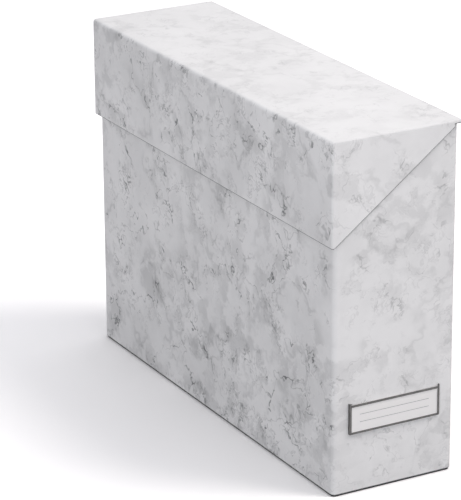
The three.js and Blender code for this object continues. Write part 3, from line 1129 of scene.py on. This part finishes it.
def turned_rivet():
    """A rivet turned about Y, its head on the origin: a low crowned head and a domed tail."""
    seat = BOARD + RAIL_SHEET
    dome = rivet_length - seat
    profile = [
        (0.0, -RIVET_CROWN),
        (RIVET_HEAD * 0.5, -RIVET_CROWN * 0.8),
        (RIVET_HEAD * 0.85, -RIVET_CROWN * 0.4),
        (RIVET_HEAD, RIVET_CROWN * 0.5),
        (RIVET_HEAD, RIVET_HEAD_THICKNESS),
        (RIVET_SHANK, RIVET_HEAD_THICKNESS),
        (RIVET_SHANK, seat),
        (RIVET_TAIL, seat),
    ]
    for step in range(1, 7):
        angle = math.pi / 2 * step / 6
        profile.append((RIVET_TAIL * math.cos(angle), seat + dome * math.sin(angle)))
    bm = bmesh.new()
    points = [bm.verts.new((radius, y, 0)) for radius, y in profile]
    line = [bm.edges.new(pair) for pair in zip(points, points[1:])]
    bmesh.ops.spin(bm, geom=points + line, cent=(0, 0, 0), axis=(0, 1, 0), angle=2 * math.pi, steps=32)
    bmesh.ops.remove_doubles(bm, verts=bm.verts, dist=1e-6)
    return from_bmesh("turned rivet", bm)


def rivet_tree():
    """One rivet on each point. The way from the middle of the box to the point tells which end it is on."""
    tree, given = new_geometry_tree("rivets", {"Places": "Geometry", "Rivet": "Object", "Finish": "Material"})
    place = add(tree, "GeometryNodeInputPosition").outputs[0]
    y = add(tree, "ShaderNodeSeparateXYZ", i0=place).outputs[1]
    inwards = math_node(tree, "MULTIPLY", math_node(tree, "SIGN", y), -1.0)
    way = add(tree, "ShaderNodeCombineXYZ", i1=inwards).outputs[0]
    turn = add(tree, "FunctionNodeAlignRotationToVector", {"axis": "Y"}, vector=way).outputs[0]
    rivet = add(tree, "GeometryNodeObjectInfo", object=given["Rivet"]).outputs["Geometry"]
    points = add(tree, "GeometryNodeMeshToPoints", i0=given["Places"]).outputs[0]
    copies = add(tree, "GeometryNodeInstanceOnPoints", points=points, instance=rivet, rotation=turn)
    end_tree(tree, copies.outputs[0], given["Finish"])
    return tree


places = bpy.data.meshes.new("rivet places")
place_points = []
for low, high in rivet_boxes:
    middle = (low + high) / 2
    head = low.y if middle.y < tray_middle.y else high.y
    place_points.append((middle.x, head, middle.z))
places.from_pydata(place_points, [], [])
rivets = grown("rivets", rivet_tree(), {"Rivet": turned_rivet(), "Finish": zinc}, places)
dress(rivets, zinc, "box", "zinc_steel", *rivet_names)

# %% [markdown]
# ## The base board
#
# A thin dark board is glued under the tray. It is set in a little, so only a crisp dark line shows round
# the foot. The CAD node already has the right shape, and it only needs its finish.

# %% Base board
base_board = nodes["base_board"]
base_board.data.materials.clear()
base_board.data.materials.append(base_finish)
print("Shown CAD nodes:", [name for name, node in nodes.items() if not node.hide_render])

# %% [markdown]
# ## Floor, backdrop and light
#
# The background is white, and only the box's shadow shows on it, to the left. The floor is white paper that
# the camera sees a little brighter than the lamps make it. It therefore clips to white where it is fully
# lit and keeps the soft shadow. Other rays see dull grey paper, so little light comes back up and the lid's
# edge keeps its line of shade. The floor is also darker close to the box, where an Ambient Occlusion node
# finds less open sky.

# %% Floor
FLOOR_GAIN = 1.5
FLOOR_BOUNCE = 0.1
CONTACT_SHADE = 0.55
CONTACT_REACH = 0.25
FLOOR_SIZE = 5.0


def seen_directly(tree):
    """1 for what the camera sees, straight or in a mirror, and 0 for the light that falls on things."""
    rays = add(tree, "ShaderNodeLightPath").outputs
    return math_node(tree, "MAXIMUM", rays["Is Camera Ray"], rays["Is Glossy Ray"])


def floor_material():
    """White paper for the camera, shaded close to the box, and dull grey paper for all other rays."""
    material = bpy.data.materials.new("white floor")
    material.use_nodes = True
    tree = material.node_tree
    tree.nodes.clear()
    output = tree.nodes.new("ShaderNodeOutputMaterial")
    plain = add(tree, "ShaderNodeBsdfDiffuse", color=grey(FLOOR_BOUNCE)).outputs[0]
    sky_share = add(tree, "ShaderNodeAmbientOcclusion", {"samples": 16}, distance=CONTACT_REACH)
    shade = ramp(tree, sky_share.outputs["AO"], 0.0, 1.0, 1.0 - CONTACT_SHADE, 1.0, smooth=False)
    seen_colour = blend_colours(tree, shade, (0.0, 0.0, 0.0, 1.0), grey(FLOOR_GAIN, 0.008))
    bright = add(tree, "ShaderNodeBsdfDiffuse", color=seen_colour).outputs[0]
    mix = add(tree, "ShaderNodeMixShader", i0=seen_directly(tree), i1=plain, i2=bright)
    tree.links.new(mix.outputs[0], output.inputs["Surface"])
    return material


floor_mesh = bpy.data.meshes.new("floor")
half = FLOOR_SIZE / 2
floor_corners = [(-half, -half), (half, -half), (half, half), (-half, half)]
floor_mesh.from_pydata([(x, y, 0) for x, y in floor_corners], [], [(0, 1, 2, 3)])
floor_mesh.materials.append(floor_material())
floor = new_piece("floor", floor_mesh)
floor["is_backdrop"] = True

# %% World
SKY_HORIZON = 0.72
SKY_TOP = 0.52
SKY_COLOUR = (0.955, 0.955, 1.0, 1.0)
WHITE = (1.0, 1.0, 1.0, 1.0)

world = bpy.data.worlds.new("studio")
bpy.context.scene.world = world
world.use_nodes = True
tree = world.node_tree
tree.nodes.clear()
output = tree.nodes.new("ShaderNodeOutputWorld")
direction = add(tree, "ShaderNodeTexCoord").outputs["Generated"]
height = add(tree, "ShaderNodeSeparateXYZ", i0=direction).outputs[2]
sky = ramp(tree, height, 0.0, 1.0, SKY_HORIZON, SKY_TOP, smooth=False)
light = add(tree, "ShaderNodeBackground", color=SKY_COLOUR, strength=sky).outputs[0]
backdrop = add(tree, "ShaderNodeBackground", color=WHITE, strength=1.0).outputs[0]
mix = add(tree, "ShaderNodeMixShader", i0=seen_directly(tree), i1=light, i2=backdrop)
tree.links.new(mix.outputs[0], output.inputs["Surface"])

# %% [markdown]
# ## Two lamps
#
# The key lamp stands high at the front right. It lights the top and the label end, and throws the shadow to
# the left. A wide fill lamp stands low at the front left. It lifts the long side and pales the shadow. Both
# are large discs, so every edge of shade is soft.


# %% Lamps
def soft_lamp(name, azimuth, elevation, distance, size, watts, colour):
    """A disc lamp that faces the origin. Azimuth 0 is at the label end, and turns towards the hinge side."""
    turn, lift = math.radians(azimuth), math.radians(elevation)
    way = Vector((math.sin(turn) * math.cos(lift), -math.cos(turn) * math.cos(lift), math.sin(lift)))
    data = bpy.data.lights.new(name, "AREA")
    data.shape = "DISK"
    data.size = size
    data.energy = watts
    data.color = colour
    lamp = bpy.data.objects.new(name, data)
    lamp.location = way * distance
    lamp.rotation_mode = "QUATERNION"
    lamp.rotation_quaternion = (-way).to_track_quat("-Z", "Y")
    bpy.context.scene.collection.objects.link(lamp)


key_place = {"azimuth": 50.0, "elevation": 54.6, "distance": 2.6}
fill_place = {"azimuth": -42.0, "elevation": 10.0, "distance": 4.0}
soft_lamp("key", **key_place, size=1.25, watts=30.0, colour=(1.0, 0.955, 0.93))
soft_lamp("fill", **fill_place, size=1.2, watts=53.0, colour=(0.985, 0.975, 1.0))

# %% View settings
bpy.context.scene.view_settings.view_transform = "Standard"

# %% Sizes, and the end
low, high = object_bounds()
